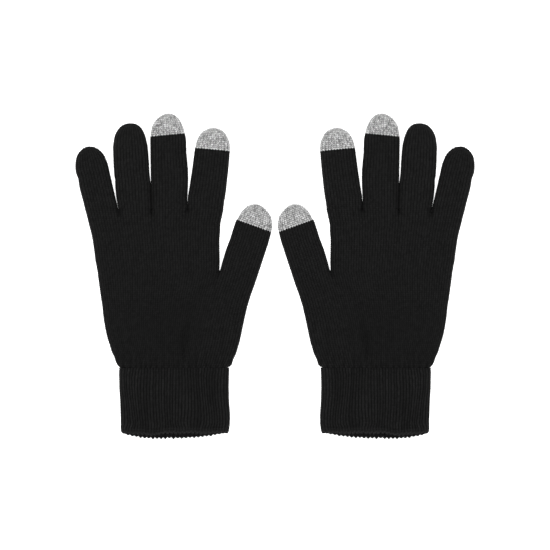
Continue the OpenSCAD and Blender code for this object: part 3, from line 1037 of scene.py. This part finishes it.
class YarnSettings(bpy.types.PropertyGroup):
    """Sizes and colours of the yarn."""

    relief: bpy.props.FloatProperty(
        name="Stitch relief", description="Height of a plain stitch in millimetres",
        default=0.34, min=0, max=0.6)
    tip_relief: bpy.props.FloatProperty(
        name="Tip relief", description="Height of a tip's stitch in millimetres",
        default=0.52, min=0, max=0.6)
    rib_relief: bpy.props.FloatProperty(
        name="Rib relief", description="Height of a rib in millimetres",
        default=0.75, min=0, max=1)
    black: bpy.props.FloatProperty(
        name="Black", description="Lightness of the black yarn",
        default=0.0105, min=0, max=1)
    silver: bpy.props.FloatProperty(
        name="Silver", description="Lightness of the conductive yarn",
        default=0.56, min=0, max=1)


class StageSettings(bpy.types.PropertyGroup):
    """Light and camera."""

    key: bpy.props.FloatProperty(
        name="Key light", description="Power of the larger lamp",
        default=8.0, min=0, unit="POWER")
    fill: bpy.props.FloatProperty(
        name="Fill light", description="Strength of the even light",
        default=0.9, min=0)
    table_glow: bpy.props.FloatProperty(
        name="Table glow", description="Light of the floor's own",
        default=1.2, min=0)
    lens: bpy.props.FloatProperty(
        name="Lens", description="Focal length in millimetres",
        default=198.0, min=10, max=400)
    distance: bpy.props.FloatProperty(
        name="Distance", description="Height of the camera",
        default=2.0, min=0.2, unit="LENGTH")


class GLOVES_OT_cuffs(bpy.types.Operator):
    """Add the ribbed cuffs with their finished edges and elastic yarns"""

    bl_idname = "gloves.cuffs"
    bl_label = "Cuffs"

    def execute(self, context):
        cuffs, edges, elastics = add_cuff(), add_cuff_edge(), add_elastics()
        return {"FINISHED"}


class GLOVES_OT_lower_palms(bpy.types.Operator):
    """Add the lower palms, from the cuff to the thumb fork"""

    bl_idname = "gloves.lower_palms"
    bl_label = "Lower palms"

    def execute(self, context):
        add_hand(
            "lower_palm", lower_palm_point, HAND_WALES + THUMB_WALES, LOWER_COURSES,
            Stitch(context.scene.glove_yarn.relief, rows=3), 11, (0.186, 0.063), bump=lower_bump, fade=(2, 0))
        return {"FINISHED"}


class GLOVES_OT_upper_palms(bpy.types.Operator):
    """Add the upper palms, from the thumb fork to the finger forks"""

    bl_idname = "gloves.upper_palms"
    bl_label = "Upper palms"

    def execute(self, context):
        add_hand(
            "upper_palm", upper_palm_point, HAND_WALES, UPPER_COURSES,
            Stitch(context.scene.glove_yarn.relief), 12, (0.182, 0.041), bump=upper_bump)
        add_fork_stitches()
        return {"FINISHED"}


class GLOVES_OT_fingers(bpy.types.Operator):
    """Add the four fingers"""

    bl_idname = "gloves.fingers"
    bl_label = "Fingers"

    def execute(self, context):
        add_digit("index_finger", 21)
        add_digit("middle_finger", 22)
        add_digit("ring_finger", 23, closed=True)
        add_digit("little_finger", 24, closed=True, bump=little_bump)
        return {"FINISHED"}


class GLOVES_OT_thumbs(bpy.types.Operator):
    """Add the thumbs"""

    bl_idname = "gloves.thumbs"
    bl_label = "Thumbs"

    def execute(self, context):
        add_digit("thumb", 25)
        return {"FINISHED"}


class GLOVES_OT_tips(bpy.types.Operator):
    """Add the conductive tips"""

    bl_idname = "gloves.tips"
    bl_label = "Tips"

    def execute(self, context):
        for seed, name in enumerate(("index_finger", "middle_finger", "thumb")):
            add_tip(name, 41 + seed)
        return {"FINISHED"}


class GLOVES_OT_stage(bpy.types.Operator):
    """Add the floor, the light and the camera"""

    bl_idname = "gloves.stage"
    bl_label = "Stage"

    def execute(self, context):
        add_stage()
        return {"FINISHED"}


OPERATORS = (
    GLOVES_OT_cuffs, GLOVES_OT_lower_palms, GLOVES_OT_upper_palms, GLOVES_OT_fingers,
    GLOVES_OT_thumbs, GLOVES_OT_tips, GLOVES_OT_stage,
)


class GLOVES_PT_panel(bpy.types.Panel):
    """Buttons for the pieces of the gloves"""

    bl_idname = "GLOVES_PT_panel"
    bl_label = "Gloves"
    bl_space_type = "VIEW_3D"
    bl_region_type = "UI"
    bl_category = "Gloves"

    def draw(self, context):
        for operator in OPERATORS:
            self.layout.operator(operator.bl_idname)


CLASSES = (YarnSettings, StageSettings, *OPERATORS, GLOVES_PT_panel)


def register():
    """Makes the classes and the two groups of settings known."""
    for cls in CLASSES:
        bpy.utils.register_class(cls)
    bpy.types.Scene.glove_yarn = bpy.props.PointerProperty(type=YarnSettings)
    bpy.types.Scene.glove_stage = bpy.props.PointerProperty(type=StageSettings)


def unregister():
    """Takes the classes and settings away again."""
    del bpy.types.Scene.glove_stage
    del bpy.types.Scene.glove_yarn
    for cls in reversed(CLASSES):
        bpy.utils.unregister_class(cls)


def main():
    """Adds every piece and the stage."""
    register()
    bpy.ops.gloves.cuffs()
    bpy.ops.gloves.lower_palms()
    bpy.ops.gloves.upper_palms()
    bpy.ops.gloves.fingers()
    bpy.ops.gloves.thumbs()
    bpy.ops.gloves.tips()
    bpy.ops.gloves.stage()


if __name__ == "__main__":
    main()
